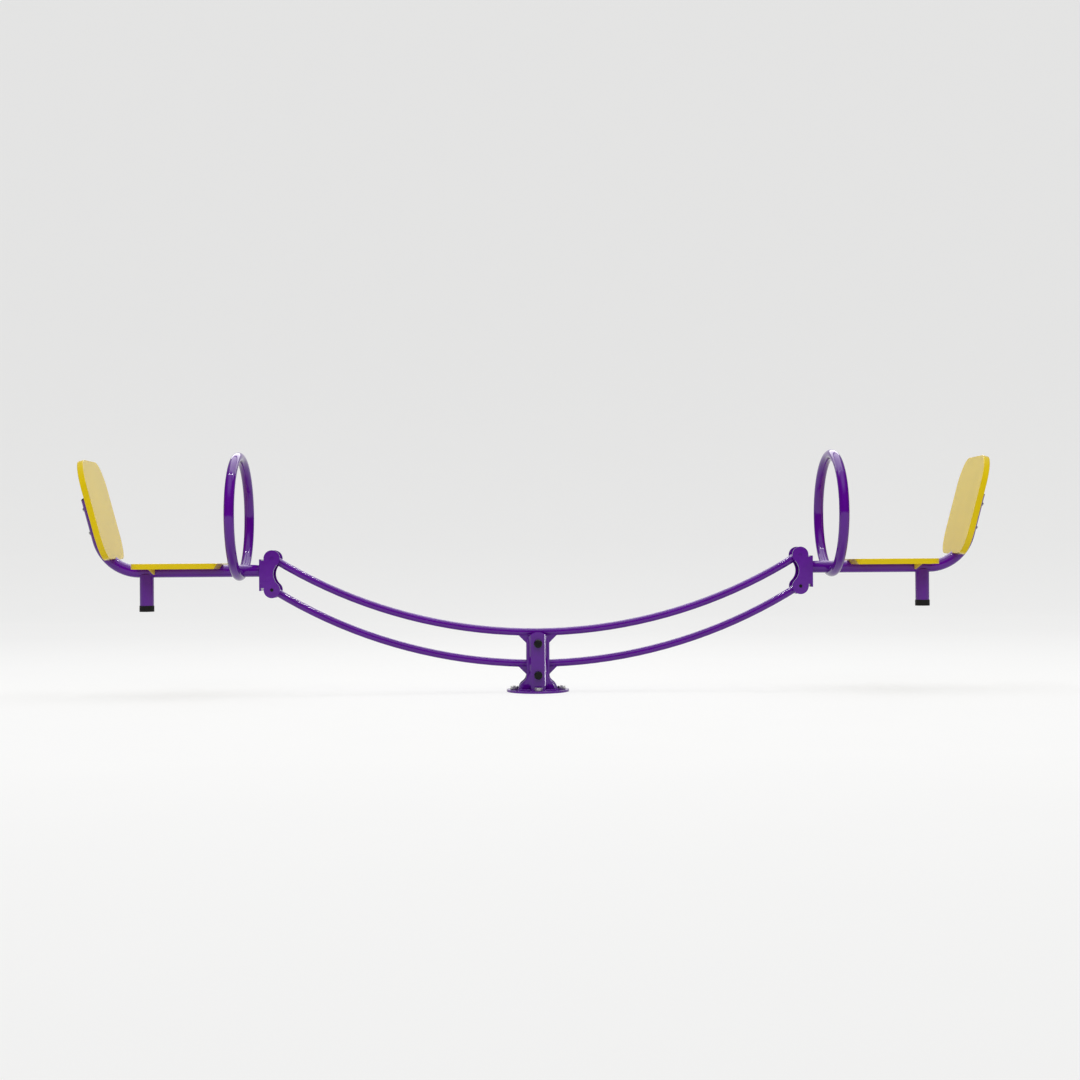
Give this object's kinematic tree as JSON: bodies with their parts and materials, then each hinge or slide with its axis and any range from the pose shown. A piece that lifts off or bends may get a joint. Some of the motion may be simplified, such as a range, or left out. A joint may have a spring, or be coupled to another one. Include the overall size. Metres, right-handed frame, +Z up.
{
  "type": "seesaw",
  "caption": "Two-seat playground seesaw: twin curved beams on a centre post keep the end seats level, with ring handles, yellow seats and backrests.",
  "frame": {"origin": "on the ground, in the middle of the centre post's base flange", "axes": "+X along the seesaw towards the right seat, -Y towards the viewer, +Z up"},
  "size_m": [3.1828, 0.4498, 0.8451],
  "materials": {
    "purple_paint": "gloss powder coat",
    "yellow_board": "satin moulded sheet",
    "black_rubber": "matt",
    "black_plastic": "satin",
    "zinc_steel": "bright zinc plate",
    "plain_steel": "machined, oiled",
    "bush_polymer": "matt"
  },
  "bodies": {
    "post": {"base_flange": "purple_paint", "front_cheek": "purple_paint", "rear_cheek": "purple_paint", "front_stiffener": "purple_paint", "rear_stiffener": "purple_paint", "anchor_washers": "zinc_steel", "anchor_nuts": "zinc_steel", "upper_centre_bolt": "zinc_steel", "lower_centre_bolt": "zinc_steel", "upper_centre_nut": "zinc_steel", "lower_centre_nut": "zinc_steel", "upper_centre_sleeve": "plain_steel", "lower_centre_sleeve": "plain_steel", "centre_pin_washers": "zinc_steel", "centre_pin_caps": "black_plastic"},
    "upper_beam": {"upper_beam_tube": "purple_paint", "upper_ear_plates": "purple_paint", "upper_hub": "purple_paint", "upper_hub_bushes": "bush_polymer", "upper_end_eyes": "purple_paint", "upper_eye_bushes": "bush_polymer"},
    "lower_beam": {"lower_beam_tube": "purple_paint", "lower_ear_plates": "purple_paint", "lower_hub": "purple_paint", "lower_hub_bushes": "bush_polymer", "lower_end_eyes": "purple_paint", "lower_eye_bushes": "bush_polymer"},
    "left_seat": {"left_bracket_front_cheek": "purple_paint", "left_bracket_rear_cheek": "purple_paint", "left_bracket_end_plate": "purple_paint", "left_upper_end_pin": "purple_paint", "left_lower_end_pin": "plain_steel", "left_pin_plugs": "black_plastic", "left_seat_tube": "purple_paint", "left_tube_plug": "black_plastic", "left_handle_ring": "purple_paint", "left_foot_post": "purple_paint", "left_foot_cap": "black_rubber", "left_seat_board": "yellow_board", "left_seat_screws": "zinc_steel", "left_backrest": "yellow_board", "left_back_bolts": "zinc_steel", "left_back_spacers": "zinc_steel"},
    "right_seat": {"right_bracket_front_cheek": "purple_paint", "right_bracket_rear_cheek": "purple_paint", "right_bracket_end_plate": "purple_paint", "right_upper_end_pin": "purple_paint", "right_lower_end_pin": "plain_steel", "right_pin_plugs": "black_plastic", "right_seat_tube": "purple_paint", "right_tube_plug": "black_plastic", "right_handle_ring": "purple_paint", "right_foot_post": "purple_paint", "right_foot_cap": "black_rubber", "right_seat_board": "yellow_board", "right_seat_screws": "zinc_steel", "right_backrest": "yellow_board", "right_back_bolts": "zinc_steel", "right_back_spacers": "zinc_steel"}
  },
  "joints": [
    {"name": "rock", "type": "hinge", "parent": "post", "child": "upper_beam", "pos_m": [0, 0, 0.17], "axis": [0, 1, 0], "range_deg": [-17, 17]},
    {"name": "lower_rock", "type": "hinge", "parent": "post", "child": "lower_beam", "pos_m": [0, 0, 0.06], "axis": [0, 1, 0], "range_deg": [-17, 17]},
    {"name": "left_level", "type": "hinge", "parent": "upper_beam", "child": "left_seat", "pos_m": [-0.925, 0, 0.47316], "axis": [0, 1, 0], "range_deg": [-17, 17]},
    {"name": "right_level", "type": "hinge", "parent": "upper_beam", "child": "right_seat", "pos_m": [0.925, 0, 0.47316], "axis": [0, 1, 0], "range_deg": [-17, 17]}
  ],
  "couplings": [
    {"joint": "lower_rock", "follows": "rock", "ratio": 1},
    {"joint": "left_level", "follows": "rock", "ratio": -1},
    {"joint": "right_level", "follows": "rock", "ratio": -1}
  ]
}
